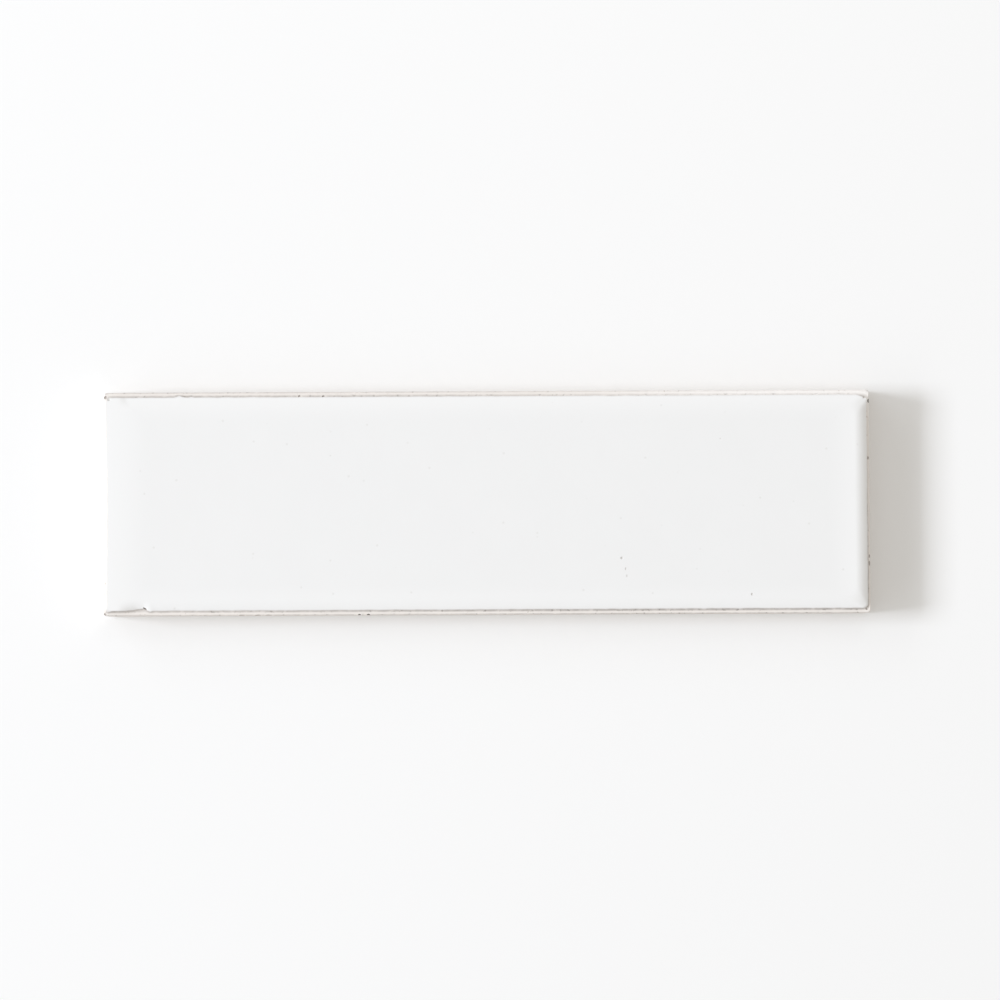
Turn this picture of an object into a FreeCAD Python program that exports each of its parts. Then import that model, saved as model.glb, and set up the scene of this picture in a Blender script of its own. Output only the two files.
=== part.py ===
import FreeCAD, Part

import math
import os

# A glazed subway wall tile in brick format, pressed and fired as one piece, lying on its keyed back.
# Millimetres. +Z is up through the glazed face, X runs along the tile, and the origin is the
# middle of the back.

# Overall size, measured over the foot and from the back to the face
TILE_LENGTH = 194.0
TILE_WIDTH = 57.0
TILE_THICKNESS = 8.0

# Body: a wall with an eased arris at the back, leaning in a little up to the bare margin round the face
BACK_CHAMFER = 0.6
WALL_LEAN = 0.2
MARGIN_ARRIS = 0.25
BODY_CORNER_RADIUS = 0.8

# Glazed pad: it stands up from the bare margin, and its edge rolls into the flat face
PAD_HEIGHT = 0.85
SIDE_MARGIN = 1.05
END_MARGIN = 0.65
PAD_CORNER_RADIUS = 1.2
ROLL_WIDTH = 2.4
ROLL_RADIUS = 6.2

# Level of the bare margin
MARGIN_HEIGHT = TILE_THICKNESS - PAD_HEIGHT

# Keying grooves in the back, pressed lengthwise and closed at both ends
KEY_WIDTH = 4.5
KEY_LAND = 4.0
KEY_DEPTH = 1.0
KEY_WALL_LEAN = 0.4
KEY_SIDE_MARGIN = 4.5
KEY_END_MARGIN = 9.0


def tile_outline(end_inset, side_inset, corner_radius, height):
    """The outline of the tile at one height, taken in at its ends and at its sides."""
    half_length = TILE_LENGTH / 2 - end_inset - corner_radius
    half_width = TILE_WIDTH / 2 - side_inset - corner_radius
    corner_centres = Part.makePolygon(
        [
            FreeCAD.Vector(half_length, -half_width, height),
            FreeCAD.Vector(half_length, half_width, height),
            FreeCAD.Vector(-half_length, half_width, height),
            FreeCAD.Vector(-half_length, -half_width, height),
            FreeCAD.Vector(half_length, -half_width, height),
        ]
    )
    return corner_centres.makeOffset2D(corner_radius)


def key_outline(length, width, height):
    """The outline of a groove with round ends, centred on Z at that height."""
    radius = width / 2
    reach = length / 2 - radius
    right_end = Part.Arc(
        FreeCAD.Vector(reach, -radius, height),
        FreeCAD.Vector(reach + radius, 0, height),
        FreeCAD.Vector(reach, radius, height),
    )
    left_end = Part.Arc(
        FreeCAD.Vector(-reach, radius, height),
        FreeCAD.Vector(-reach - radius, 0, height),
        FreeCAD.Vector(-reach, -radius, height),
    )
    far_side = Part.LineSegment(right_end.EndPoint, left_end.StartPoint)
    near_side = Part.LineSegment(left_end.EndPoint, right_end.StartPoint)
    return Part.Wire([piece.toShape() for piece in (right_end, far_side, left_end, near_side)])


def edges_at(solid, height):
    """The edges of a solid that lie wholly at one height."""
    tolerance = 1e-6
    return [
        edge
        for edge in solid.Edges
        if abs(edge.BoundBox.ZMin - height) < tolerance and abs(edge.BoundBox.ZMax - height) < tolerance
    ]


def clay_body():
    """The block up to the bare margin, with its back arris eased and its top arris rounded."""
    sections = [
        tile_outline(BACK_CHAMFER, BACK_CHAMFER, BODY_CORNER_RADIUS, 0),
        tile_outline(0, 0, BODY_CORNER_RADIUS, BACK_CHAMFER),
        tile_outline(WALL_LEAN, WALL_LEAN, BODY_CORNER_RADIUS, MARGIN_HEIGHT),
    ]
    block = Part.makeLoft(sections, True, True)
    return block.makeFillet(MARGIN_ARRIS, edges_at(block, MARGIN_HEIGHT))


def roll_cutter(edge, length):
    """What is taken off above a rolled edge that runs along X at that distance out along Y."""
    start = edge - ROLL_WIDTH
    # The cutter goes on past the edge, half way from there to where its arc would stand upright
    end = (edge + start + ROLL_RADIUS) / 2
    middle = (start + end) / 2

    def arc_point(across):
        drop = ROLL_RADIUS - math.sqrt(ROLL_RADIUS**2 - (across - start) ** 2)
        return FreeCAD.Vector(-length / 2, across, TILE_THICKNESS - drop)

    roll = Part.Arc(arc_point(start), arc_point(middle), arc_point(end))
    lid = [
        FreeCAD.Vector(-length / 2, end, TILE_THICKNESS + ROLL_WIDTH),
        FreeCAD.Vector(-length / 2, start, TILE_THICKNESS + ROLL_WIDTH),
    ]
    outline = [
        roll,
        Part.LineSegment(roll.EndPoint, lid[0]),
        Part.LineSegment(lid[0], lid[1]),
        Part.LineSegment(lid[1], roll.StartPoint),
    ]
    section = Part.Face(Part.Wire([piece.toShape() for piece in outline]))
    return section.extrude(FreeCAD.Vector(length, 0, 0))


def glazed_pad():
    """The part that carries the glaze, with its four edges rolled into the face."""
    end_inset = WALL_LEAN + END_MARGIN
    side_inset = WALL_LEAN + SIDE_MARGIN
    outline = tile_outline(end_inset, side_inset, PAD_CORNER_RADIUS, MARGIN_HEIGHT)
    pad = Part.Face(outline).extrude(FreeCAD.Vector(0, 0, PAD_HEIGHT))
    up = FreeCAD.Vector(0, 0, 1)
    origin = FreeCAD.Vector(0, 0, 0)
    side = roll_cutter(TILE_WIDTH / 2 - side_inset, TILE_LENGTH)
    end = roll_cutter(TILE_LENGTH / 2 - end_inset, TILE_WIDTH)
    cutters = [side, side.rotated(origin, up, 180), end.rotated(origin, up, 90), end.rotated(origin, up, -90)]
    return pad.cut(cutters)


def key_grooves():
    """The grooves as solids to be cut away, spread evenly across the back."""
    length = TILE_LENGTH - 2 * KEY_END_MARGIN
    opening = 2 * KEY_WALL_LEAN
    mouth_below = key_outline(length + opening, KEY_WIDTH + opening, -KEY_DEPTH)
    floor = key_outline(length - opening, KEY_WIDTH - opening, KEY_DEPTH)
    groove = Part.makeLoft([mouth_below, floor], True, True)
    pitch = KEY_WIDTH + KEY_LAND
    count = int((TILE_WIDTH - 2 * KEY_SIDE_MARGIN + KEY_LAND) // pitch)
    first = -pitch * (count - 1) / 2
    return [groove.translated(FreeCAD.Vector(0, first + pitch * place, 0)) for place in range(count)]


def tile():
    """The whole tile as one solid."""
    body = clay_body().fuse(glazed_pad()).removeSplitter()
    return body.cut(key_grooves())


def main():
    os.makedirs("parts", exist_ok=True)
    solid = tile()
    solid.exportStep("parts/tile.step")
    box = solid.optimalBoundingBox()
    print(f"tile {box.XLength:.2f} x {box.YLength:.2f} x {box.ZLength:.2f} mm")
    print(f"volume {solid.Volume:.0f} mm3, valid {solid.isValid()}, solids {len(solid.Solids)}")


main()
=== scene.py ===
import math
from collections import namedtuple

import bpy
from bpy.props import FloatProperty, FloatVectorProperty, IntProperty, PointerProperty
from mathutils import Matrix, Vector


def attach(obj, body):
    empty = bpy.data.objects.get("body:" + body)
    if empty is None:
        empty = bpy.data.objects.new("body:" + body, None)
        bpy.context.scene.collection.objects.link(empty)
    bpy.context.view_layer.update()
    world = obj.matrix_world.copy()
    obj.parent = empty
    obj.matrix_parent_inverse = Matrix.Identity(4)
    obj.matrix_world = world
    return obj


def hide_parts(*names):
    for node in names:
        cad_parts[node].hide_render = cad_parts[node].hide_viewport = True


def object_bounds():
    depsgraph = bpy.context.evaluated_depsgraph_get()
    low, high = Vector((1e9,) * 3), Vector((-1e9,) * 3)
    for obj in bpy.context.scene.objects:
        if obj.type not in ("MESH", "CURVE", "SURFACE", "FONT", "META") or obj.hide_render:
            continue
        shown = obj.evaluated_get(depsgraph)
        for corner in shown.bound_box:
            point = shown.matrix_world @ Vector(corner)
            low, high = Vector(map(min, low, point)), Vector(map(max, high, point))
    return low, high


bl_info = {
    "name": "Glazed Wall Tile",
    "version": (1, 0, 0),
    "blender": (4, 5, 0),
    "location": "3D View > Sidebar > Tile",
    "description": "Builds a white glazed wall tile with a bare clay margin, and a plain stage for it",
    "category": "Object",
}

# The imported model, which gives the tile's own size
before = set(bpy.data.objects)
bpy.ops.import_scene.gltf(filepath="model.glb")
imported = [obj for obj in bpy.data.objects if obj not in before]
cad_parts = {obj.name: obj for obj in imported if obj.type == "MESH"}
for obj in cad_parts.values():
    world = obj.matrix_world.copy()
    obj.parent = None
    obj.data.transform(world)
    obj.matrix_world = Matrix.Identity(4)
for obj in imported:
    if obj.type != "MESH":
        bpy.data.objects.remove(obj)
cad_low, cad_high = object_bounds()

MM = 0.001
NODE_STEP = 180

# The glaze starts this high above the bare margin
GLAZE_START = 0.03 * MM

# What a face of the tile is covered with
GLAZED = 0
BARE = 1
PITTED = 2
DIRTY_AND_SHADED = 3
STAINED_AND_SHADED = 4

# One point of a section: how far it lies in from the tile's ends and from its sides, its height, the corner
# radius seen from above, how far it follows the glaze's edge, how far it moves with the glazed pad, and how
# much the kiln has browned it, together with the shade painted into the crease at the glaze's foot and along
# the arris
Station = namedtuple("Station", "end_inset side_inset height corner follow carry toast")

# A flaw of the surface, cut by a lump: where its middle lies and how far below the face, its half sizes
# and its turn about Z, in millimetres and degrees
Flaw = namedtuple("Flaw", "x y depth length width height turn")

# A stretch of a long side where the glaze stops short (or, below zero, runs over): which side, where it
# starts, where it is deepest and where it ends, and its depth, in millimetres
Dent = namedtuple("Dent", "side start peak end depth")

# Where a lamp stands, seen from the tile: bearing and elevation in degrees, distance and sides in metres
Lamp = namedtuple("Lamp", "bearing elevation distance width height")

NEAR = -1
FAR = 1

# Pinholes in the glazed face
PINHOLES = [
    Flaw(34.0, -14.1, 0.0, 0.40, 0.36, 0.12, 20),
    Flaw(35.0, -16.8, 0.0, 0.22, 0.44, 0.07, -10),
    Flaw(35.2, -18.6, 0.0, 0.28, 0.46, 0.07, 12),
    Flaw(66.8, -23.4, 0.0, 0.34, 0.38, 0.14, 0),
    Flaw(59.0, 15.9, 0.0, 0.28, 0.24, 0.08, 35),
    Flaw(-39.4, 12.0, 0.0, 0.26, 0.24, 0.07, 60),
    Flaw(-7.7, 2.2, 0.0, 0.26, 0.18, 0.07, 25),
    Flaw(-95.4, 26.5, 0.0, 0.60, 0.42, 0.24, -20),
]

# A black spot at the right end, and black spots of painted shade where the near arris is chipped
DIRT_AND_SHADE = [
    Flaw(96.75, 25.4, 0.85, 0.40, 0.62, 0.45, -12),
    # Painted shade where the near arris is chipped
    Flaw(-32.2, -28.2, 1.05, 0.42, 0.28, 0.34, 0),
    Flaw(-29.9, -28.2, 1.05, 0.48, 0.28, 0.34, 0),
]

# Brown stains at the corners, on the far edge and along the right end; painted shadow on the closing wall at
# the end of the flake and in dashes along the near arris
STAINS_AND_SHADE = [
    Flaw(-96.3, 27.0, 0.75, 0.60, 0.50, 0.50, 30),
    Flaw(-96.4, -27.9, 0.95, 0.50, 0.40, 0.40, 0),
    # Painted shadow on the closing wall of the flake's drop
    Flaw(-86.25, -26.35, 0.70, 0.55, 0.20, 0.40, -30),
    # Painted shadow in dashes along the near arris, where it is chipped
    Flaw(-61.8, -28.2, 1.05, 0.80, 0.22, 0.32, 0),
    Flaw(-57.8, -28.2, 1.05, 0.85, 0.20, 0.32, 0),
    Flaw(-55.1, -28.2, 1.05, 0.90, 0.21, 0.32, 0),
    Flaw(-47.3, 27.15, 0.85, 0.42, 0.32, 0.38, 0),
    Flaw(-41.2, 27.0, 0.85, 0.48, 0.38, 0.40, 0),
    Flaw(95.7, -27.2, 0.80, 0.50, 0.36, 0.40, -35),
    Flaw(96.4, 10.9, 0.95, 0.24, 0.50, 0.22, 0),
    Flaw(96.5, -13.9, 0.95, 0.22, 0.50, 0.24, 0),
    Flaw(96.5, -15.7, 0.95, 0.22, 0.70, 0.24, 3),
]

# Chips out of the bare arris
CHIPS = [
    Flaw(-58.2, -28.5, 0.85, 4.2, 0.34, 0.34, 0),
    Flaw(-43.4, -28.5, 0.85, 3.8, 0.32, 0.30, 1),
    Flaw(-31.4, -28.5, 0.85, 2.1, 0.42, 0.40, -2),
    Flaw(-76.6, -28.4, 0.85, 0.5, 0.30, 0.28, 0),
    Flaw(-14.9, -28.4, 0.85, 0.6, 0.30, 0.28, 0),
    Flaw(-2.7, -28.4, 0.85, 0.8, 0.30, 0.28, 0),
    Flaw(52.0, -28.4, 0.85, 1.3, 0.30, 0.28, 0),
    Flaw(-83.5, 28.4, 0.85, 1.0, 0.30, 0.28, 0),
    Flaw(18.0, 28.4, 0.85, 1.2, 0.30, 0.28, 0),
    Flaw(71.0, 28.4, 0.85, 0.9, 0.30, 0.28, 0),
]

# Where the glaze's edge leaves its line: it runs over at the left corner, then stops short in a long flake
# with a drop at its end; on the far side it runs over twice, and the right corner is clipped
DENTS = [
    Dent(NEAR, -97.4, -96.6, -94.6, -0.60),
    Dent(NEAR, -94.6, -88.4, -85.6, 0.22),
    Dent(NEAR, -89.4, -86.6, -85.0, 0.52),
    Dent(NEAR, -85.7, -84.9, -84.1, -0.22),
    Dent(FAR, -78.7, -77.5, -76.4, -0.45),
    Dent(FAR, -75.1, -74.7, -74.2, -0.25),
    Dent(FAR, 93.4, 96.6, 98.0, 1.10),
]

# Lamps: the main one low at the left, a weak wide one behind it and a weak one over the far side
KEY_LAMP = Lamp(178.0, 22.0, 6.0, 2.0, 1.05)
WIDE_LAMP = Lamp(172.0, 25.0, 3.0, 7.5, 0.75)
FAR_LAMP = Lamp(75.0, 50.0, 0.63, 0.2, 0.2)


def size(name, description, millimetres):
    """A length that a user may change, given in millimetres and kept in metres."""
    return FloatProperty(
        name=name, description=description, default=millimetres * MM, min=0.0, unit="LENGTH", precision=5
    )


def share(name, description, default):
    """A number from nothing to all."""
    return FloatProperty(
        name=name, description=description, default=default, min=0.0, max=1.0, subtype="FACTOR"
    )


def strength(name, description, default):
    """A brightness, where 1 is white."""
    return FloatProperty(name=name, description=description, default=default, min=0.0, soft_max=2.0)


def power(name, description, watts):
    """The power of a lamp."""
    return FloatProperty(name=name, description=description, default=watts, min=0.0, unit="POWER")


def colour(name, description, red, green, blue):
    """A colour that a user may change, in linear light."""
    return FloatVectorProperty(
        name=name, description=description, default=(red, green, blue), min=0.0, max=1.0, subtype="COLOR"
    )


class TileSizes(bpy.types.PropertyGroup):
    """Sizes of the fired tile"""

    length: size("Length", "Length over the foot", (cad_high.x - cad_low.x) / MM)
    width: size("Width", "Width over the foot", (cad_high.y - cad_low.y) / MM)
    thickness: size("Thickness", "From the back to the glazed face", (cad_high.z - cad_low.z) / MM)
    back_chamfer: size("Back Chamfer", "Eased arris round the back", 0.6)
    wall_lean: size("Wall Lean", "How far the wall leans in on its way up", 0.2)
    margin_arris: size("Margin Arris", "Round on the outer edge of the bare margin", 0.25)
    body_corner: size("Body Corner", "Corner radius of the body, seen from above", 0.8)
    pad_height: size("Pad Height", "How far the glazed pad stands above the bare margin", 0.95)
    side_margin: size("Side Margin", "Width of the bare margin along the sides", 1.275)
    end_margin: size("End Margin", "Width of the bare margin along the ends", 0.65)
    pad_corner: size("Pad Corner", "Corner radius of the glazed pad, seen from above", 1.2)
    pad_shift: size("Pad Shift", "How far the glazed pad lies off the middle, towards the near side", 0.055)
    roll_width: size("Roll Width", "Width of the roll from the pad's edge to the flat face", 3.4)
    roll_radius: size("Roll Radius", "Radius of that roll", 7.9)
    roll_corner_growth: share("Roll Corner Growth", "How fast the roll's corner radius grows inwards", 0.5)
    left_roll: share("Left Roll", "How much of the roll's drop is left at the left end", 0.03)
    far_roll: share("Far Roll", "How much of the roll's drop is left along the far side", 0.25)
    left_short: size("Left Short", "How much further in the glaze ends at the left end", 0.45)
    # The browned line beside the glaze also carries painted shade for the crease at the glaze's foot
    toast_and_shade_width: size("Toast Width", "Width of the browned line beside the glaze", 0.55)
    lip_round: size("Lip Round", "Round on the upper edge of the glaze's lip", 0.20)
    glaze_wander: size("Glaze Wander", "How far the glaze's edge strays in and out", 0.16)
    key_width: size("Key Width", "Width of a keying groove at its mouth", 4.5)
    key_land: size("Key Land", "Width of the land between two keying grooves", 4.0)
    key_depth: size("Key Depth", "Depth of the keying grooves", 1.0)
    key_lean: size("Key Lean", "How far a groove's wall leans in", 0.4)
    key_side_margin: size("Key Side Margin", "Least land beside the outer grooves", 4.5)
    key_end_margin: size("Key End Margin", "Land past the ends of the grooves", 9.0)
    glaze_swell: size("Glaze Swell", "Depth of the slow waves in the glazed face", 0.09)
    clay_swell: size("Clay Swell", "Depth of the unevenness of the bare clay", 0.10)
    columns: IntProperty(name="Columns", description="Points along the length", default=230, min=8)
    rows: IntProperty(name="Rows", description="Points across the width", default=68, min=8)
    seed: IntProperty(name="Seed", description="Which draw of the waves and lumps is used", default=7, min=0)


class TileFinish(bpy.types.PropertyGroup):
    """Colours and gloss of the glaze and the clay"""

    glaze: colour("Glaze", "White of the glaze", 0.873, 0.873, 0.873)
    glaze_border: colour("Glaze Border", "White of the glaze near the edges", 0.908, 0.908, 0.908)
    glaze_speck: colour("Glaze Speck", "Faint grey specks under the glaze", 0.72, 0.71, 0.69)
    glaze_roughness: share("Glaze Roughness", "Dullness of the glaze", 0.16)
    margin: colour("Margin", "Fired clay of the bare margin", 0.88, 0.835, 0.795)
    pale_margin: colour("Pale Margin", "Palest clay of the margin, at the far right", 0.96, 0.93, 0.905)
    clay: colour("Clay", "Fired clay of the walls and the back", 0.745, 0.69, 0.635)
    clay_shade: colour("Clay Shade", "Darker patches of the fired clay", 0.685, 0.625, 0.565)
    clay_speck: colour("Clay Speck", "Brown specks in the fired clay", 0.45, 0.37, 0.30)
    # Browned lines, which are also painted shade in the crease at the glaze's foot and along the arris
    toast: colour("Toast", "Lines that the kiln browns", 0.50, 0.465, 0.44)
    crumb: colour("Crumb", "Dark crumbs in those lines", 0.34, 0.31, 0.285)
    pit: colour("Pit", "Inside of pinholes", 0.70, 0.69, 0.67)
    # Black spots, also painted shade where the near arris is chipped
    grime_and_shade: colour("Grime", "Spots of dirt", 0.09, 0.08, 0.07)
    # Brown stains, also used as painted shadow at the flake's end and along the near arris
    stain_and_shade: colour("Stain", "Brown stains", 0.49, 0.45, 0.42)
    clay_roughness: share("Clay Roughness", "Dullness of the fired clay", 0.88)


class StageSettings(bpy.types.PropertyGroup):
    """Floor, light and camera"""

    floor: colour("Floor", "Colour of the floor", 0.945, 0.945, 0.945)
    key_power: power("Key Power", "Lamp at the left", 309.0)
    wide_power: power("Wide Power", "Weak wide lamp at the left", 48.0)
    key_colour: colour("Key Colour", "Colour of both lamps at the left", 0.88, 0.926, 1.0)
    far_power: power("Far Power", "Weak lamp over the far side", 0.14)
    surroundings: strength("Surroundings", "Light from all round", 0.592)
    fill_colour: colour("Fill Colour", "Colour of the far lamp and of the light all round", 1.0, 0.97, 0.92)
    backdrop: strength("Backdrop", "Brightness that the camera and reflections see", 0.95)
    camera_height: size("Camera Height", "Height of the camera over the floor", 598.0)
    camera_near: size("Camera Near", "How far the camera stands to the near side of what it looks at", 20.7)
    camera_lens: FloatProperty(
        name="Camera Lens", description="Focal length on a 36 mm frame", default=84.3, min=1.0, unit="CAMERA"
    )


class Nodes:
    """Adds nodes to one tree, side by side, and plugs values or sockets into them."""

    def __init__(self, tree):
        self.tree = tree

    def plug(self, socket, value):
        if isinstance(value, bpy.types.NodeSocket):
            self.tree.links.new(value, socket)
        else:
            socket.default_value = value

    def add(self, kind, inputs=None, **settings):
        node = self.tree.nodes.new(kind)
        node.location.x = NODE_STEP * len(self.tree.nodes)
        for name, value in settings.items():
            setattr(node, name, value)
        for name, value in (inputs or {}).items():
            socket = next(s for s in node.inputs if s.name == name and s.enabled)
            self.plug(socket, value)
        return node

    def use(self, group, inputs=None):
        """A node that holds another tree."""
        kind = "GeometryNodeGroup" if group.bl_idname == "GeometryNodeTree" else "ShaderNodeGroup"
        return self.add(kind, inputs, node_tree=group)

    def math(self, operation, *values, clamp=False):
        node = self.add("ShaderNodeMath", operation=operation, use_clamp=clamp)
        for socket, value in zip(node.inputs, values):
            self.plug(socket, value)
        return node.outputs[0]

    def vector(self, operation, *values):
        node = self.add("ShaderNodeVectorMath", operation=operation)
        for socket, value in zip(node.inputs, values):
            self.plug(socket, value)
        return next(s for s in node.outputs if s.enabled)

    def scaled(self, vector, factor):
        node = self.add("ShaderNodeVectorMath", {"Vector": vector, "Scale": factor}, operation="SCALE")
        return node.outputs["Vector"]

    def join(self, x, y, z):
        return self.add("ShaderNodeCombineXYZ", {"X": x, "Y": y, "Z": z}).outputs["Vector"]

    def split(self, vector):
        return self.add("ShaderNodeSeparateXYZ", {"Vector": vector}).outputs[:]

    def ramp(self, value, start, end, low=0.0, high=1.0):
        """A value that goes smoothly from low at the start to high at the end."""
        node = self.add(
            "ShaderNodeMapRange",
            {"Value": value, "From Min": start, "From Max": end, "To Min": low, "To Max": high},
            interpolation_type="SMOOTHSTEP",
        )
        return node.outputs["Result"]

    def noise(self, place, wave_length, detail=2.0, seed=0.0):
        """Soft noise from about 0.2 to 0.8, whose waves have that length in metres."""
        node = self.add(
            "ShaderNodeTexNoise",
            {"Vector": place, "W": seed, "Scale": self.math("DIVIDE", 1.0, wave_length), "Detail": detail},
            noise_dimensions="4D",
        )
        return node.outputs[0]

    def mix(self, factor, first, second):
        node = self.add("ShaderNodeMix", {"Factor": factor, "A": first, "B": second}, data_type="RGBA")
        return next(s for s in node.outputs if s.enabled)

    def position(self):
        return self.add("GeometryNodeInputPosition").outputs[0]

    def named(self, name, kind="FLOAT"):
        """An attribute of the mesh, read by its name."""
        return self.add("GeometryNodeInputNamedAttribute", {"Name": name}, data_type=kind).outputs[0]

    def stored(self, geometry, name, value, kind="FLOAT", domain="POINT"):
        """The geometry with a value kept on it under a name."""
        node = self.add(
            "GeometryNodeStoreNamedAttribute",
            {"Geometry": geometry, "Name": name, "Value": value},
            data_type=kind,
            domain=domain,
        )
        return node.outputs[0]

    def sampled(self, geometry, value, index, kind="FLOAT"):
        """A value read from one point of another geometry."""
        node = self.add(
            "GeometryNodeSampleIndex",
            {"Geometry": geometry, "Value": value, "Index": index},
            data_type=kind,
            domain="POINT",
        )
        return node.outputs[0]

    def moved(self, geometry, **inputs):
        """The geometry with its points at a new Position, or moved by an Offset."""
        return self.add("GeometryNodeSetPosition", {"Geometry": geometry, **inputs}).outputs[0]


def new_tree(name, kind, inputs, outputs):
    """An empty node tree with named sockets: each has a name, a kind and, for some inputs, a default."""
    tree = bpy.data.node_groups.new(name, kind)
    for way, sockets in (("INPUT", inputs), ("OUTPUT", outputs)):
        for label, socket_kind, *default in sockets:
            socket = tree.interface.new_socket(label, in_out=way, socket_type="NodeSocket" + socket_kind)
            if default:
                socket.default_value = default[0]
    return tree


# Sections, drawn as corners that are rounded off


def rounded_section(corners, longest_step):
    """Points along a line of corners (across, up, radius): corners are rounded and long runs divided."""
    longest_arc_step = 0.25 * MM
    widest_turn = math.radians(12)
    points = [Vector(corners[0][:2])]
    for before, corner, after in zip(corners, corners[1:], corners[2:]):
        tip = Vector(corner[:2])
        radius = corner[2]
        back = (Vector(before[:2]) - tip).normalized()
        on = (Vector(after[:2]) - tip).normalized()
        turn = math.pi - back.angle(on)
        reach = radius * math.tan(turn / 2)
        middle = tip + (back + on).normalized() * radius / math.cos(turn / 2)
        start = tip + back * reach - middle
        end = tip + on * reach - middle
        steps = max(2, math.ceil(turn / widest_turn), math.ceil(turn * radius / longest_arc_step))
        for step in range(steps + 1):
            swing = turn * step / steps
            spoke = (start * math.sin(turn - swing) + end * math.sin(swing)) / math.sin(turn)
            points.append(middle + spoke)
    points.append(Vector(corners[-1][:2]))
    section = [points[0]]
    for here, there in zip(points, points[1:]):
        pieces = max(1, math.ceil((there - here).length / longest_step))
        section += [here.lerp(there, piece / pieces) for piece in range(1, pieces + 1)]
    return section


def between(value, low, high):
    """How far a value has gone from low to high, kept from 0 to 1."""
    return min(max((value - low) / (high - low), 0.0), 1.0)


def edge_stations(sizes):
    """The tile's edge from the back to the face."""
    margin_height = sizes.thickness - sizes.pad_height
    margin_start = sizes.wall_lean + sizes.margin_arris
    pad_edge = sizes.wall_lean + sizes.side_margin
    roll_slope = math.asin(sizes.roll_width / sizes.roll_radius)
    roll_reach = sizes.roll_radius * math.tan(roll_slope / 2)
    lip_height = sizes.thickness - sizes.roll_radius * (1 - math.cos(roll_slope))
    # Browning at the glaze's foot and on the arris, painted dark enough to stand for the shade there
    arris_toast_and_shade = 0.8
    rim_toast_and_shade = 0.7
    onto_flat = 0.4 * MM
    wall_step = 0.9 * MM
    margin_step = 0.14 * MM
    wall = [
        (2 * sizes.back_chamfer, 0.0, 0.0),
        (sizes.back_chamfer, 0.0, 0.15 * MM),
        (0.0, sizes.back_chamfer, 0.2 * MM),
        (sizes.wall_lean, margin_height, sizes.margin_arris),
        (margin_start, margin_height, 0.0),
    ]
    margin = [
        (margin_start, margin_height, 0.0),
        (pad_edge, margin_height, 0.05 * MM),
        (pad_edge, lip_height, sizes.lip_round),
        (pad_edge + roll_reach * math.cos(roll_slope), sizes.thickness, 0.9 * sizes.roll_radius),
        (pad_edge + sizes.roll_width + onto_flat, sizes.thickness, 0.0),
    ]
    points = rounded_section(wall, wall_step) + rounded_section(margin, margin_step)[1:]
    stations = []
    for inset, height in points:
        past_arris = between(inset, margin_start, pad_edge)
        onto_roll = between(inset, pad_edge, pad_edge + sizes.roll_width)
        up_here = height > margin_height - 1.2 * sizes.margin_arris
        corner = sizes.body_corner
        if up_here:
            corner += (sizes.pad_corner - sizes.body_corner) * past_arris
            corner += sizes.roll_corner_growth * max(0.0, inset - pad_edge)
        near_glaze = between(inset, pad_edge - sizes.toast_and_shade_width, pad_edge - 0.4 * sizes.toast_and_shade_width)
        if height > margin_height + GLAZE_START:
            near_glaze = rim_toast_and_shade * between(inset, pad_edge + 0.4 * MM, pad_edge)
        near_arris = between(inset, margin_start + 0.25 * MM, margin_start)
        stations.append(
            Station(
                end_inset=inset - (sizes.side_margin - sizes.end_margin) * past_arris * up_here,
                side_inset=inset,
                height=height,
                corner=corner,
                follow=past_arris * (1 - onto_roll) * up_here,
                carry=past_arris * up_here,
                toast=max(near_glaze, arris_toast_and_shade * near_arris) * up_here,
            )
        )
    return stations


def key_stations(sizes):
    """A keying groove from below its mouth to its floor."""
    half_width = sizes.key_width / 2
    corners = [
        (-sizes.key_lean, -sizes.key_depth, 0.0),
        (sizes.key_lean, sizes.key_depth, 0.35 * MM),
        (sizes.key_lean + 0.6 * MM, sizes.key_depth, 0.0),
    ]
    return [
        Station(inset, inset, height, half_width - inset, 0.0, 0.0, 0.0)
        for inset, height in rounded_section(corners, 3.0 * MM)
    ]


def helper_points(name, places, **values):
    """Loose points with named values, for a geometry tree to read."""
    mesh = bpy.data.meshes.new(name)
    mesh.from_pydata(places, [], [])
    for value_name, column in values.items():
        is_number = isinstance(column[0], float)
        attribute = mesh.attributes.new(value_name, "FLOAT" if is_number else "FLOAT_VECTOR", "POINT")
        for item, value in zip(attribute.data, column):
            if is_number:
                item.value = value
            else:
                item.vector = value
    points = bpy.data.objects.new(name, mesh)
    bpy.context.scene.collection.objects.link(points)
    return points


def section_points(name, stations):
    """A section: X is the inset from the ends, Y that from the sides, and Z the height."""
    return helper_points(
        name,
        [(s.end_inset, s.side_inset, s.height) for s in stations],
        corner=[s.corner for s in stations],
        follow=[s.follow for s in stations],
        carry=[s.carry for s in stations],
        toast=[s.toast for s in stations],
    )


def flaw_points(name, flaws, top):
    """Flaws below that height, each at its middle with its half sizes and its turn."""
    return helper_points(
        name,
        [(f.x * MM, f.y * MM, top - f.depth * MM) for f in flaws],
        half_size=[(f.length * MM, f.width * MM, f.height * MM) for f in flaws],
        turn=[(0.0, 0.0, math.radians(f.turn)) for f in flaws],
    )


# Geometry trees


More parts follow.
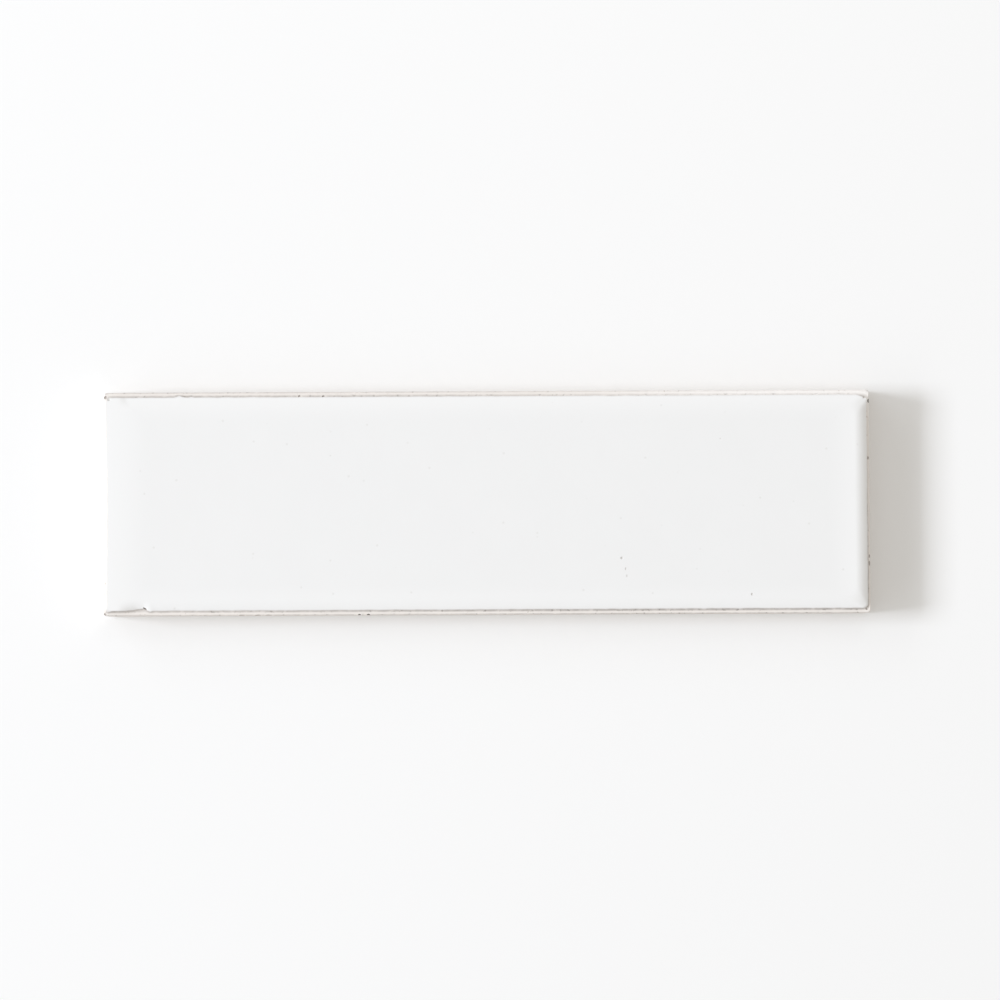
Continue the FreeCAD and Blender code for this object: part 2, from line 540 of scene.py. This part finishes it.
def rounded_block_tree():
    """A block whose walls follow a section and whose corners are round, made by moving a box's points."""
    tree = new_tree(
        "Rounded block",
        "GeometryNodeTree",
        [
            ("Columns", "Int", 60),
            ("Rows", "Int", 10),
            ("Half Length", "Float", 0.05),
            ("Half Width", "Float", 0.02),
            ("Crowding", "Float", 0.75),
            ("Section", "Object"),
        ],
        [("Mesh", "Geometry")],
    )
    n = Nodes(tree)
    given = n.add("NodeGroupInput").outputs
    section = n.add("GeometryNodeObjectInfo", {"Object": given["Section"]}).outputs["Geometry"]
    domain_size = n.add("GeometryNodeAttributeDomainSize", {"Geometry": section}, component="MESH")
    count = domain_size.outputs["Point Count"]
    box = n.add(
        "GeometryNodeMeshCube",
        {
            "Size": (2.0, 2.0, 2.0),
            "Vertices X": given["Columns"],
            "Vertices Y": given["Rows"],
            "Vertices Z": count,
        },
    ).outputs["Mesh"]

    # Each layer of the box takes one point of the section
    place = n.position()
    layer = n.math("MULTIPLY_ADD", n.split(place)[2], 0.5, 0.5)
    station = n.math("ROUND", n.math("MULTIPLY", layer, n.math("SUBTRACT", count, 1.0)))
    box = n.stored(box, "station", station)
    station = n.named("station")
    end_inset, side_inset, height = n.split(n.sampled(section, place, station, "FLOAT_VECTOR"))
    corner = n.sampled(section, n.named("corner"), station)
    for name in ("follow", "carry", "toast"):
        box = n.stored(box, name, n.sampled(section, n.named(name), station))

    # The points crowd towards the four edges, where the shape turns
    cubed = n.vector("MULTIPLY", n.vector("MULTIPLY", place, place), place)
    push = n.scaled(n.vector("SUBTRACT", place, cubed), n.math("MULTIPLY", given["Crowding"], 0.5))
    half_length = n.math("SUBTRACT", given["Half Length"], end_inset)
    half_width = n.math("SUBTRACT", given["Half Width"], side_inset)
    square = n.vector("MULTIPLY", n.vector("ADD", place, push), n.join(half_length, half_width, 0.0))

    # What lies past the corner's middle is drawn in to a round
    core = n.join(
        n.math("MAXIMUM", n.math("SUBTRACT", half_length, corner), 0.0),
        n.math("MAXIMUM", n.math("SUBTRACT", half_width, corner), 0.0),
        0.0,
    )
    middle = n.vector("MINIMUM", n.vector("MAXIMUM", square, n.scaled(core, -1.0)), core)
    past = n.vector("SUBTRACT", square, middle)
    past_x, past_y, _ = n.split(n.vector("ABSOLUTE", past))
    length = n.math("MAXIMUM", n.vector("LENGTH", past), 1e-9)
    outward = n.scaled(past, n.math("DIVIDE", 1.0, length))
    box = n.stored(box, "outward", outward, "FLOAT_VECTOR")
    drawn_in = n.scaled(outward, n.math("MAXIMUM", past_x, past_y))
    outline = n.vector("ADD", middle, drawn_in)
    block = n.moved(box, Position=n.vector("ADD", outline, n.join(0.0, 0.0, height)))
    n.add("NodeGroupOutput", {"Mesh": block})
    return tree


def covered(n, geometry, kind):
    """The geometry with each face marked by what covers it."""
    return n.stored(geometry, "cover", kind, "INT", "FACE")


def glaze_stray(n, x, y, given):
    """How far the glaze's edge lies outside its line, by noise, at the left end and by the dents."""
    right_facing, side_facing, _ = n.split(n.named("outward", "FLOAT_VECTOR"))
    stray = n.math("SUBTRACT", n.noise(n.join(x, y, 0.0), 3.0 * MM, 5.0, given["Seed"]), 0.5)
    stray = n.math("MULTIPLY", stray, n.math("MULTIPLY", given["Glaze Wander"], 2.0))
    at_left = n.ramp(right_facing, -0.6, -0.95)
    left_end = n.math("MULTIPLY", at_left, n.ramp(y, 24.0 * MM, 4.0 * MM, 0.2, 1.0))
    stray = n.math("SUBTRACT", stray, n.math("MULTIPLY", given["Left Short"], left_end))
    for dent in DENTS:
        rise = n.math("DIVIDE", n.math("SUBTRACT", x, dent.start * MM), (dent.peak - dent.start) * MM)
        fall = n.math("DIVIDE", n.math("SUBTRACT", x, dent.end * MM), (dent.peak - dent.end) * MM)
        inside = n.math("MAXIMUM", n.math("MINIMUM", rise, fall), 0.0)
        beside = n.ramp(n.math("MULTIPLY", side_facing, float(dent.side)), 0.2, 0.7)
        depth = n.math("MULTIPLY", inside, -dent.depth * MM)
        stray = n.math("MULTIPLY_ADD", depth, beside, stray)
    return stray


def browned_and_shaded_share(n, place):
    """How browned an edge is, with the shade painted on it as the light falls: hardly at the left end, which
    faces the lamps, and less up the right end and along the far side.
    """
    x, y, _ = n.split(place)
    right_facing, far_facing, _ = n.split(n.named("outward", "FLOAT_VECTOR"))
    left_end = n.ramp(right_facing, -0.95, -0.6, 0.1, 1.0)
    on_arris = n.math("MULTIPLY_ADD", n.named("carry"), -0.8, 0.8)
    paler_up = n.math("MAXIMUM", n.ramp(y, -18.0 * MM, 20.0 * MM, 0.25, 0.95), on_arris)
    right_end = n.math("MULTIPLY", n.ramp(right_facing, 0.6, 0.95), paler_up)
    at_far = n.ramp(far_facing, 0.6, 0.95)
    far_side = n.math("MULTIPLY", at_far, n.ramp(x, -60.0 * MM, 70.0 * MM, 0.3, 0.65))
    at_near = n.ramp(far_facing, -0.6, -0.95)
    near_side = n.math("MULTIPLY", at_near, n.ramp(x, -97.0 * MM, 50.0 * MM, 0.3, 0.0))
    rest = n.math("SUBTRACT", 1.0, n.math("ADD", right_end, n.math("ADD", far_side, near_side)))
    return n.math("MULTIPLY", left_end, rest)


def flatter_roll(n, place, given):
    """The points with less roll at the left end and the far side, and the lip drawn up to meet it."""
    x, y, z = n.split(place)
    from_left = n.math("ADD", given["Half Length"], x)
    from_far = n.math("SUBTRACT", given["Half Width"], y)
    at_left = n.ramp(from_left, 4.0 * MM, 9.0 * MM, given["Left Roll"], 1.0)
    at_far = n.ramp(from_far, 1.0 * MM, 6.0 * MM, given["Far Roll"], 1.0)
    rest = n.math("MINIMUM", at_left, at_far)
    pad_height = given["Pad Height"]
    roll_drop = given["Roll Drop"]
    lip = n.math("SUBTRACT", pad_height, roll_drop)
    new_drop = n.math("MULTIPLY", roll_drop, rest)
    stretch = n.math("DIVIDE", n.math("SUBTRACT", pad_height, new_drop), lip)
    drop = n.math("SUBTRACT", given["Thickness"], z)
    on_roll = n.math("MULTIPLY", n.math("MINIMUM", drop, roll_drop), rest)
    on_lip = n.math("MINIMUM", n.math("MAXIMUM", n.math("SUBTRACT", drop, roll_drop), 0.0), lip)
    below = n.math("MAXIMUM", n.math("SUBTRACT", drop, pad_height), 0.0)
    total = n.math("ADD", n.math("MULTIPLY_ADD", on_lip, stretch, on_roll), below)
    return n.join(x, y, n.math("SUBTRACT", given["Thickness"], total))


def flaw_lumps(n, flaws, seed, kind):
    """Lumps to be cut away, one at each flaw's point, with a rough skin."""
    ball = n.add("GeometryNodeMeshIcoSphere", {"Radius": 1.0, "Subdivisions": 3}).outputs["Mesh"]
    points = n.add("GeometryNodeObjectInfo", {"Object": flaws}).outputs["Geometry"]
    turn = n.add("FunctionNodeEulerToRotation", {"Euler": n.named("turn", "FLOAT_VECTOR")}).outputs[0]
    half_size = n.named("half_size", "FLOAT_VECTOR")
    lumps = n.add(
        "GeometryNodeInstanceOnPoints",
        {"Points": points, "Instance": ball, "Rotation": turn, "Scale": half_size},
    ).outputs[0]
    lumps = n.add("GeometryNodeRealizeInstances", {"Geometry": lumps}).outputs[0]
    rough = n.math("SUBTRACT", n.noise(n.position(), 0.6 * MM, 2.0, seed), 0.5)
    normal = n.add("GeometryNodeInputNormal").outputs[0]
    lumps = n.moved(lumps, Offset=n.scaled(normal, n.math("MULTIPLY", rough, 0.15 * MM)))
    return covered(n, lumps, kind)


def glazed_tile_tree():
    """The whole tile: the pressed block, its keyed back, the glaze's edge, flaws and waves."""
    tree = new_tree(
        "Glazed tile",
        "GeometryNodeTree",
        [
            ("Columns", "Int", 230),
            ("Rows", "Int", 68),
            ("Half Length", "Float", 0.097),
            ("Half Width", "Float", 0.0285),
            ("Thickness", "Float", 0.01),
            ("Edge Section", "Object"),
            ("First Glazed Station", "Int", 20),
            ("Pad Height", "Float", 0.0008),
            ("Pad Shift", "Float", 0.0003),
            ("Roll Drop", "Float", 0.00045),
            ("Left Roll", "Float", 0.25),
            ("Far Roll", "Float", 0.3),
            ("Left Short", "Float", 0.0004),
            ("Glaze Wander", "Float", 0.0002),
            ("Key Section", "Object"),
            ("Key Half Length", "Float", 0.088),
            ("Key Half Width", "Float", 0.00225),
            ("Key Count", "Int", 6),
            ("Key Pitch", "Float", 0.0085),
            ("Pinholes", "Object"),
            ("Dirt", "Object"),
            ("Stains", "Object"),
            ("Chips", "Object"),
            ("Glaze Swell", "Float", 0.0001),
            ("Clay Swell", "Float", 0.0001),
            ("Seed", "Float", 0.0),
            ("Glaze", "Material"),
            ("Clay", "Material"),
            ("Pit", "Material"),
            ("Grime", "Material"),
            ("Stain", "Material"),
        ],
        [("Mesh", "Geometry")],
    )
    n = Nodes(tree)
    given = n.add("NodeGroupInput").outputs
    block = rounded_block_tree()
    place = n.position()
    normal = n.add("GeometryNodeInputNormal").outputs[0]

    # The pressed body, glazed from one station of its edge upwards
    body = n.use(
        block,
        {
            "Columns": given["Columns"],
            "Rows": given["Rows"],
            "Half Length": given["Half Length"],
            "Half Width": given["Half Width"],
            "Section": given["Edge Section"],
        },
    ).outputs["Mesh"]
    body = covered(n, body, n.math("LESS_THAN", n.named("station"), given["First Glazed Station"]))
    body = n.moved(body, Position=flatter_roll(n, place, given))

    # The kiln's browning and the painted shade differ from edge to edge, as the light falls on each
    body = n.stored(body, "toast", n.math("MULTIPLY", n.named("toast"), browned_and_shaded_share(n, place)))

    # The glazed pad lies a little off the middle, and its edge strays
    x, y, z = n.split(place)
    outward = n.named("outward", "FLOAT_VECTOR")
    stray = n.scaled(outward, n.math("MULTIPLY", glaze_stray(n, x, y, given), n.named("follow")))
    shift = n.scaled(n.join(0.0, given["Pad Shift"], 0.0), n.math("MULTIPLY", n.named("carry"), -1.0))
    body = n.moved(body, Offset=n.vector("ADD", stray, shift))

    # Slow waves in the glaze and a finer unevenness of the clay, both inwards from the pressed shape
    margin = n.math("SUBTRACT", given["Thickness"], given["Pad Height"])
    bare = n.ramp(z, margin, n.math("ADD", margin, 0.3 * MM), 1.0, 0.0)
    waves = n.math("MULTIPLY", n.noise(place, 26.0 * MM, 2.0, given["Seed"]), given["Glaze Swell"])
    bumps = n.math("MULTIPLY", n.noise(place, 2.2 * MM, 3.0, given["Seed"]), given["Clay Swell"])
    sink = n.math("MULTIPLY", n.math("MULTIPLY_ADD", bumps, bare, waves), -1.0)
    body = n.moved(body, Offset=n.scaled(normal, sink))

    # Keying grooves, spread evenly across the back
    groove = n.use(
        block,
        {
            "Columns": 60,
            "Rows": 12,
            "Half Length": given["Key Half Length"],
            "Half Width": given["Key Half Width"],
            "Crowding": 0.9,
            "Section": given["Key Section"],
        },
    ).outputs["Mesh"]
    spread = n.math("MULTIPLY", n.math("SUBTRACT", given["Key Count"], 1.0), given["Key Pitch"])
    line = n.add(
        "GeometryNodeMeshLine",
        {
            "Count": given["Key Count"],
            "Start Location": n.join(0.0, n.math("MULTIPLY", spread, -0.5), 0.0),
            "Offset": n.join(0.0, given["Key Pitch"], 0.0),
        },
    ).outputs[0]
    grooves = n.add("GeometryNodeInstanceOnPoints", {"Points": line, "Instance": groove}).outputs[0]
    grooves = covered(n, n.add("GeometryNodeRealizeInstances", {"Geometry": grooves}).outputs[0], BARE)

    # Flaws and grooves are cut out of the body
    cut = n.add("GeometryNodeMeshBoolean", {"Mesh 1": body}, operation="DIFFERENCE", solver="MANIFOLD")
    tree.links.new(grooves, cut.inputs["Mesh 2"])
    for flaws, kind in (("Pinholes", PITTED), ("Dirt", DIRTY_AND_SHADED), ("Stains", STAINED_AND_SHADED), ("Chips", BARE)):
        tree.links.new(flaw_lumps(n, given[flaws], given["Seed"], kind), cut.inputs["Mesh 2"])

    # Points that the cut leaves almost on each other are merged
    merged = n.add("GeometryNodeMergeByDistance", {"Geometry": cut.outputs["Mesh"], "Distance": 0.001 * MM})
    tile = merged.outputs[0]

    # Smooth faces, parted where the surface turns sharply and where the glaze ends
    cover = n.named("cover", "INT")
    off_glaze = n.add(
        "GeometryNodeFieldOnDomain",
        {"Value": n.math("MINIMUM", cover, 1.0)},
        data_type="FLOAT",
        domain="FACE",
    ).outputs[0]
    rim = n.math("COMPARE", off_glaze, 0.5, 0.25)
    angle = n.add("GeometryNodeInputMeshEdgeAngle").outputs["Unsigned Angle"]
    sharp = n.math("MAXIMUM", n.math("GREATER_THAN", angle, math.radians(32)), rim)
    smooth = n.add("GeometryNodeSetShadeSmooth", {"Geometry": tile, "Shade Smooth": True}, domain="FACE")
    tile = n.add(
        "GeometryNodeSetShadeSmooth",
        {"Geometry": smooth.outputs[0], "Selection": sharp, "Shade Smooth": False},
        domain="EDGE",
    ).outputs[0]
    tile = n.add("GeometryNodeRealizeInstances", {"Geometry": tile}).outputs[0]
    covers = ((GLAZED, "Glaze"), (BARE, "Clay"), (PITTED, "Pit"), (DIRTY_AND_SHADED, "Grime"), (STAINED_AND_SHADED, "Stain"))
    for kind, name in covers:
        is_kind = n.add("FunctionNodeCompare", {"A": cover, "B": kind}, data_type="INT", operation="EQUAL")
        tile = n.add(
            "GeometryNodeSetMaterial",
            {"Geometry": tile, "Selection": is_kind.outputs[0], "Material": given[name]},
        ).outputs[0]
    n.add("NodeGroupOutput", {"Mesh": tile})
    return tree


def grown_piece(name, tree, values):
    """An object with the plain mesh that a geometry tree makes from named values."""
    piece = bpy.data.objects.new(name, bpy.data.meshes.new(name))
    bpy.context.scene.collection.objects.link(piece)
    modifier = piece.modifiers.new("Grow", "NODES")
    modifier.node_group = tree
    for socket in tree.interface.items_tree:
        if socket.in_out == "INPUT" and socket.name in values:
            modifier[socket.identifier] = values[socket.name]
    depsgraph = bpy.context.evaluated_depsgraph_get()
    mesh = bpy.data.meshes.new_from_object(piece.evaluated_get(depsgraph), depsgraph=depsgraph)
    piece.modifiers.remove(modifier)
    piece.data = mesh
    mesh.name = name
    if not mesh.polygons:
        raise RuntimeError(f"the tree {tree.name} made no faces for {name}")
    return piece


# Surfaces


def mottle_group():
    """Soft patches: a mask that is 0 where the noise is under From and 1 where it is over To."""
    group = new_tree(
        "Mottle",
        "ShaderNodeTree",
        [("Place", "Vector"), ("Size", "Float", 0.005), ("From", "Float", 0.4), ("To", "Float", 0.7)],
        [("Mask", "Float")],
    )
    n = Nodes(group)
    given = n.add("NodeGroupInput").outputs
    cloud = n.noise(given["Place"], given["Size"], 4.0)
    n.add("NodeGroupOutput", {"Mask": n.ramp(cloud, given["From"], given["To"])})
    return group


def speck_group():
    """Small scattered specks: a mask with the share of the surface set by Rareness."""
    group = new_tree(
        "Specks",
        "ShaderNodeTree",
        [("Place", "Vector"), ("Size", "Float", 0.001), ("Rareness", "Float", 0.75)],
        [("Mask", "Float")],
    )
    n = Nodes(group)
    given = n.add("NodeGroupInput").outputs
    dots = n.noise(given["Place"], given["Size"], 1.0, 3.0)
    full = n.math("ADD", given["Rareness"], 0.06)
    n.add("NodeGroupOutput", {"Mask": n.ramp(dots, given["Rareness"], full)})
    return group


def grain_group():
    """Height of a fine unevenness, in which coarse and fine waves meet."""
    group = new_tree(
        "Grain",
        "ShaderNodeTree",
        [("Place", "Vector"), ("Size", "Float", 0.001), ("Fineness", "Float", 2.0)],
        [("Height", "Float")],
    )
    n = Nodes(group)
    given = n.add("NodeGroupInput").outputs
    n.add("NodeGroupOutput", {"Height": n.noise(given["Place"], given["Size"], given["Fineness"], 5.0)})
    return group


class Effects:
    """The shader groups that the materials share, each made once."""

    def __init__(self):
        self.mottle = mottle_group()
        self.specks = speck_group()
        self.grain = grain_group()

    def patches(self, n, place, wave, start, end):
        """A mask of soft patches."""
        return n.use(self.mottle, {"Place": place, "Size": wave, "From": start, "To": end}).outputs["Mask"]

    def dots(self, n, place, wave, rareness):
        """A mask of scattered specks."""
        return n.use(self.specks, {"Place": place, "Size": wave, "Rareness": rareness}).outputs["Mask"]

    def rough_normal(self, n, place, wave, fineness, bump_strength, depth):
        """A normal that follows the grain."""
        grain = n.use(self.grain, {"Place": place, "Size": wave, "Fineness": fineness}).outputs["Height"]
        bump = n.add("ShaderNodeBump", {"Height": grain, "Strength": bump_strength, "Distance": depth})
        return bump.outputs["Normal"]


def new_material(name):
    """A material with one plain shader, its node builder and its Object coordinates."""
    material = bpy.data.materials.new(name)
    material.use_nodes = True
    n = Nodes(material.node_tree)
    place = n.add("ShaderNodeTexCoord").outputs["Object"]
    return material, n, place


def browned_and_shaded_mask(n, effects, place):
    """Where the kiln has browned an edge and shade is painted into the crease at the glaze's foot and along
    the arris, unevenly along it.
    """
    toast = n.add("ShaderNodeAttribute", attribute_name="toast", attribute_type="GEOMETRY").outputs["Fac"]
    uneven = effects.patches(n, place, 1.8 * MM, 0.25, 0.6)
    return n.math("MULTIPLY", toast, n.math("MULTIPLY_ADD", uneven, 0.55, 0.45))


def glaze_material(finish, sizes, effects):
    """White glaze: faint mottling, a paler border, fine specks and a soft orange peel."""
    material, n, place = new_material("white_glaze")
    shader = material.node_tree.nodes["Principled BSDF"]
    x, y, _ = n.split(n.vector("ABSOLUTE", place))
    to_end = n.math("SUBTRACT", sizes.length / 2, x)
    to_side = n.math("SUBTRACT", sizes.width / 2, y)
    end_border = n.ramp(to_end, 3.0 * MM, 13.0 * MM, 1.0, 0.0)
    side_border = n.ramp(to_side, 2.0 * MM, 9.0 * MM, 0.8, 0.0)
    border = n.math("MAXIMUM", end_border, side_border)
    mottle = effects.patches(n, place, 9.0 * MM, 0.35, 0.7)
    pale = n.math("MAXIMUM", border, n.math("MULTIPLY", mottle, 0.15))
    white = n.mix(pale, (*finish.glaze, 1.0), (*finish.glaze_border, 1.0))
    cells = n.add("ShaderNodeTexVoronoi", {"Vector": place, "Scale": 1.0 / (4.0 * MM)}).outputs
    chosen = n.math("LESS_THAN", n.split(cells["Color"])[0], 0.5)
    speck = n.math("MULTIPLY", n.ramp(cells["Distance"], 0.04, 0.11, 1.0, 0.0), chosen)
    white = n.mix(n.math("MULTIPLY", speck, 0.4), white, (*finish.glaze_speck, 1.0))
    # The browned line on the glaze's lip, partly painted shade
    n.plug(shader.inputs["Base Color"], n.mix(browned_and_shaded_mask(n, effects, place), white, (*finish.toast, 1.0)))
    shader.inputs["Roughness"].default_value = finish.glaze_roughness
    n.plug(shader.inputs["Normal"], effects.rough_normal(n, place, 1.6 * MM, 2.0, 0.05, 0.2 * MM))
    return material


def clay_material(finish, sizes, effects):
    """Fired clay: patchy and specked, pale on the margin, browned and painted with shade beside the glaze and
    on the arris.
    """
    material, n, place = new_material("fired_clay")
    shader = material.node_tree.nodes["Principled BSDF"]
    patch = effects.patches(n, place, 4.0 * MM, 0.4, 0.75)
    tone = n.mix(n.math("MULTIPLY", patch, 0.6), (*finish.clay, 1.0), (*finish.clay_shade, 1.0))
    margin_height = sizes.thickness - sizes.pad_height
    x, y, height = n.split(place)
    on_margin = n.ramp(height, margin_height - 0.6 * MM, margin_height - 0.2 * MM)
    paler = n.math("MULTIPLY", n.ramp(x, 10.0 * MM, 75.0 * MM), n.ramp(y, 20.0 * MM, 26.0 * MM))
    margin = n.mix(paler, (*finish.margin, 1.0), (*finish.pale_margin, 1.0))
    tone = n.mix(on_margin, tone, margin)
    speck = effects.dots(n, place, 0.7 * MM, 0.72)
    tone = n.mix(n.math("MULTIPLY", speck, 0.5), tone, (*finish.clay_speck, 1.0))
    browned_and_shaded = browned_and_shaded_mask(n, effects, place)
    tone = n.mix(browned_and_shaded, tone, (*finish.toast, 1.0))
    crumb = effects.dots(n, place, 1.0 * MM, 0.60)
    n.plug(shader.inputs["Base Color"], n.mix(n.math("MULTIPLY", crumb, browned_and_shaded), tone, (*finish.crumb, 1.0)))
    shader.inputs["Roughness"].default_value = finish.clay_roughness
    n.plug(shader.inputs["Normal"], effects.rough_normal(n, place, 0.35 * MM, 3.0, 0.5, 0.15 * MM))
    return material


def spot_material(name, tone, finish, effects):
    """The dull inside of a pinhole, and the tone of black spots, brown stains and spots of painted shade."""
    material, n, place = new_material(name)
    shader = material.node_tree.nodes["Principled BSDF"]
    shader.inputs["Base Color"].default_value = (*tone, 1.0)
    shader.inputs["Roughness"].default_value = finish.clay_roughness
    n.plug(shader.inputs["Normal"], effects.rough_normal(n, place, 0.35 * MM, 3.0, 0.5, 0.15 * MM))
    return material


class TILE_OT_make_tile(bpy.types.Operator):
    """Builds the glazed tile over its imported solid"""

    bl_idname = "tile.make_tile"
    bl_label = "Glazed Tile"

    def execute(self, context):
        sizes = context.scene.tile_sizes
        finish = context.scene.tile_finish
        effects = Effects()
        stations = edge_stations(sizes)
        margin_height = sizes.thickness - sizes.pad_height
        first_glazed = next(
            index for index, station in enumerate(stations) if station.height > margin_height + GLAZE_START
        )
        roll_drop = sizes.roll_radius - math.sqrt(sizes.roll_radius**2 - sizes.roll_width**2)
        pitch = sizes.key_width + sizes.key_land
        edge = section_points("edge_section", stations)
        key = section_points("key_section", key_stations(sizes))
        pinholes = flaw_points("pinhole_points", PINHOLES, sizes.thickness)
        dirt_and_shade = flaw_points("dirt_points", DIRT_AND_SHADE, sizes.thickness)
        stains_and_shade = flaw_points("stain_points", STAINS_AND_SHADE, sizes.thickness)
        chips = flaw_points("chip_points", CHIPS, sizes.thickness)
        tile = grown_piece(
            "glazed_tile",
            glazed_tile_tree(),
            {
                "Columns": sizes.columns,
                "Rows": sizes.rows,
                "Half Length": sizes.length / 2,
                "Half Width": sizes.width / 2,
                "Thickness": sizes.thickness,
                "Edge Section": edge,
                "First Glazed Station": first_glazed,
                "Pad Height": sizes.pad_height,
                "Pad Shift": sizes.pad_shift,
                "Roll Drop": roll_drop,
                "Left Roll": sizes.left_roll,
                "Far Roll": sizes.far_roll,
                "Left Short": sizes.left_short,
                "Glaze Wander": sizes.glaze_wander,
                "Key Section": key,
                "Key Half Length": sizes.length / 2 - sizes.key_end_margin,
                "Key Half Width": sizes.key_width / 2,
                "Key Count": int((sizes.width - 2 * sizes.key_side_margin + sizes.key_land) // pitch),
                "Key Pitch": pitch,
                "Pinholes": pinholes,
                "Dirt": dirt_and_shade,
                "Stains": stains_and_shade,
                "Chips": chips,
                "Glaze Swell": sizes.glaze_swell,
                "Clay Swell": sizes.clay_swell,
                "Seed": float(sizes.seed),
                "Glaze": glaze_material(finish, sizes, effects),
                "Clay": clay_material(finish, sizes, effects),
                "Pit": spot_material("glaze_pit", finish.pit, finish, effects),
                "Grime": spot_material("grime_and_shade", finish.grime_and_shade, finish, effects),
                "Stain": spot_material("stain_and_shade", finish.stain_and_shade, finish, effects),
            },
        )
        for helper in (edge, key, pinholes, dirt_and_shade, stains_and_shade, chips):
            bpy.data.objects.remove(helper)
        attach(tile, "root")
        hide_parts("tile")
        return {"FINISHED"}


class TILE_OT_make_stage(bpy.types.Operator):
    """Builds the floor, the lamps, the surroundings and the camera"""

    bl_idname = "tile.make_stage"
    bl_label = "Stage"

    def execute(self, context):
        stage = context.scene.tile_stage
        self.make_floor(stage)
        self.make_lamp("key_lamp", KEY_LAMP, stage.key_power, stage.key_colour)
        self.make_lamp("wide_lamp", WIDE_LAMP, stage.wide_power, stage.key_colour)
        self.make_lamp("far_lamp", FAR_LAMP, stage.far_power, stage.fill_colour)
        self.make_surroundings(stage)
        self.make_camera(stage)
        context.scene.view_settings.view_transform = "Standard"
        return {"FINISHED"}

    def make_floor(self, stage):
        half = 3.0
        mesh = bpy.data.meshes.new("floor")
        corners = [(-half, -half, 0), (half, -half, 0), (half, half, 0), (-half, half, 0)]
        mesh.from_pydata(corners, [], [(0, 1, 2, 3)])
        floor = bpy.data.objects.new("floor", mesh)
        bpy.context.scene.collection.objects.link(floor)
        material = bpy.data.materials.new("floor_paper")
        material.use_nodes = True
        shader = material.node_tree.nodes["Principled BSDF"]
        shader.inputs["Base Color"].default_value = (*stage.floor, 1.0)
        shader.inputs["Roughness"].default_value = 1.0
        shader.inputs["Specular IOR Level"].default_value = 0.0
        mesh.materials.append(material)

    def make_lamp(self, name, place, watts, tint):
        """A soft lamp that faces the tile from its place."""
        data = bpy.data.lights.new(name, "AREA")
        data.shape = "RECTANGLE"
        data.size = place.width
        data.size_y = place.height
        data.energy = watts
        data.color = tint
        around = math.radians(place.bearing)
        up = math.radians(place.elevation)
        way = Vector((math.cos(around) * math.cos(up), math.sin(around) * math.cos(up), math.sin(up)))
        lamp = bpy.data.objects.new(name, data)
        lamp.location = way * place.distance
        lamp.rotation_euler = way.to_track_quat("Z", "Y").to_euler()
        bpy.context.scene.collection.objects.link(lamp)

    def make_surroundings(self, stage):
        """An even light from all round, and an even white for the camera and for reflections."""
        world = bpy.data.worlds.new("studio")
        world.use_nodes = True
        n = Nodes(world.node_tree)
        path = n.add("ShaderNodeLightPath").outputs
        seen = n.math("MAXIMUM", path["Is Camera Ray"], path["Is Glossy Ray"])
        seen = n.math("MAXIMUM", seen, path["Is Transmission Ray"])
        background = world.node_tree.nodes["Background"]
        n.plug(background.inputs["Color"], n.mix(seen, (*stage.fill_colour, 1.0), (1.0, 1.0, 1.0, 1.0)))
        n.plug(background.inputs["Strength"], n.ramp(seen, 0.0, 1.0, stage.surroundings, stage.backdrop))
        bpy.context.scene.world = world

    def make_camera(self, stage):
        """A camera that looks down on the tile, from a little to its near side."""
        aim = Vector((3.36, 0.65, 7.2)) * MM
        roll = math.radians(-0.25)
        data = bpy.data.cameras.new("camera")
        data.sensor_width = 36.0
        data.lens = stage.camera_lens
        camera = bpy.data.objects.new("camera", data)
        place = Vector((aim.x, aim.y - stage.camera_near, stage.camera_height))
        turn = (aim - place).to_track_quat("-Z", "Y").to_matrix().to_4x4()
        camera.matrix_world = Matrix.Translation(place) @ turn @ Matrix.Rotation(roll, 4, "Z")
        bpy.context.scene.collection.objects.link(camera)
        bpy.context.scene.camera = camera


class TILE_PT_panel(bpy.types.Panel):
    """Lists the pieces of the tile, its sizes and its finish"""

    bl_label = "Glazed Wall Tile"
    bl_idname = "TILE_PT_panel"
    bl_space_type = "VIEW_3D"
    bl_region_type = "UI"
    bl_category = "Tile"

    def draw(self, context):
        layout = self.layout
        for operator, groups in (
            (TILE_OT_make_tile, (context.scene.tile_sizes, context.scene.tile_finish)),
            (TILE_OT_make_stage, (context.scene.tile_stage,)),
        ):
            box = layout.box()
            box.operator(operator.bl_idname)
            for settings in groups:
                for name in settings.__annotations__:
                    box.prop(settings, name)


CLASSES = (TileSizes, TileFinish, StageSettings, TILE_OT_make_tile, TILE_OT_make_stage, TILE_PT_panel)


def register():
    for item in CLASSES:
        bpy.utils.register_class(item)
    bpy.types.Scene.tile_sizes = PointerProperty(type=TileSizes)
    bpy.types.Scene.tile_finish = PointerProperty(type=TileFinish)
    bpy.types.Scene.tile_stage = PointerProperty(type=StageSettings)


def unregister():
    del bpy.types.Scene.tile_stage
    del bpy.types.Scene.tile_finish
    del bpy.types.Scene.tile_sizes
    for item in reversed(CLASSES):
        bpy.utils.unregister_class(item)


def main():
    register()
    bpy.ops.tile.make_stage()
    bpy.ops.tile.make_tile()


if __name__ == "__main__":
    main()
